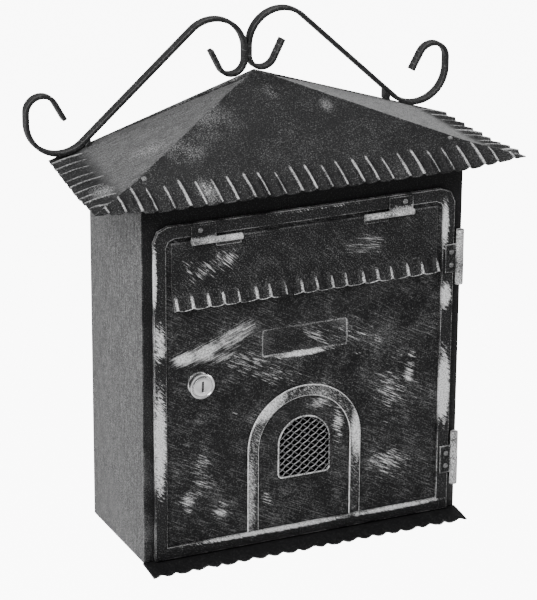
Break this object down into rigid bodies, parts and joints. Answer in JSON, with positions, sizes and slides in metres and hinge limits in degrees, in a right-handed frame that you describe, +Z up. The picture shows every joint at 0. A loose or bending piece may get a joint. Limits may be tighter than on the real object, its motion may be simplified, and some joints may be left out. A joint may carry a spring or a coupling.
{
  "type": "wall mounted mailbox",
  "caption": "House-shaped steel wall mailbox with crimped hip roof, scroll crest, hinged locking door, top-hinged letter flap and arched mesh window.",
  "frame": {"origin": "middle of the four wall screw holes, on the wall side of the back sheet", "axes": "+Z up, +Y into the wall, +X to the right for someone facing the door"},
  "size_m": [0.4099, 0.1434, 0.4531],
  "materials": {
    "box_paint": "black enamel with silver rubbed over it, satin",
    "door_paint": "black enamel with dry brushed silver streaks",
    "roof_paint": "black enamel with silver rubbed on the ridges",
    "trim_paint": "black enamel worn to silver along the edges",
    "scroll_paint": "black enamel, faint silver on the edges",
    "wire_steel": "dull galvanised wire",
    "lock_chrome": "bright",
    "zinc_steel": "zinc plated"
  },
  "bodies": {
    "box": {"body_wrap": "box_paint", "front_frame": "box_paint", "bottom_panel": "box_paint", "roof_front": "roof_paint", "roof_left": "roof_paint", "roof_right": "roof_paint", "roof_back": "roof_paint", "roof_rivets": "zinc_steel", "scroll_left": "scroll_paint", "scroll_right": "scroll_paint", "scroll_feet": "scroll_paint", "door_hinge_lower_fixed": "trim_paint", "door_hinge_upper_fixed": "trim_paint", "door_hinge_pins": "zinc_steel"},
    "door": {"door_panel": "door_paint", "door_frame": "trim_paint", "arch_trim": "trim_paint", "window_mesh": "wire_steel", "door_hinge_lower_moving": "trim_paint", "door_hinge_upper_moving": "trim_paint", "door_hinge_screws": "zinc_steel", "flap_hinge_left_fixed": "trim_paint", "flap_hinge_right_fixed": "trim_paint", "flap_hinge_pins": "zinc_steel", "flap_hinge_screws": "zinc_steel", "lock_housing": "lock_chrome", "lock_nut": "zinc_steel"},
    "flap": {"flap_plate": "door_paint", "flap_hinge_left_moving": "trim_paint", "flap_hinge_right_moving": "trim_paint"},
    "lock": {"lock_plug": "lock_chrome", "lock_cam": "zinc_steel", "cam_screw": "zinc_steel"}
  },
  "joints": [
    {"name": "door_swing", "type": "hinge", "parent": "box", "child": "door", "pos_m": [0.147, -0.1218, 0], "axis": [0, 0, 1], "range_deg": [0, 110]},
    {"name": "flap_lift", "type": "hinge", "parent": "door", "child": "flap", "pos_m": [0, -0.1242, 0.1289], "axis": [-1, 0, 0], "range_deg": [0, 85]},
    {"name": "lock_turn", "type": "hinge", "parent": "door", "child": "lock", "pos_m": [-0.0995, -0.118, 0], "axis": [0, -1, 0], "range_deg": [0, 90]}
  ]
}
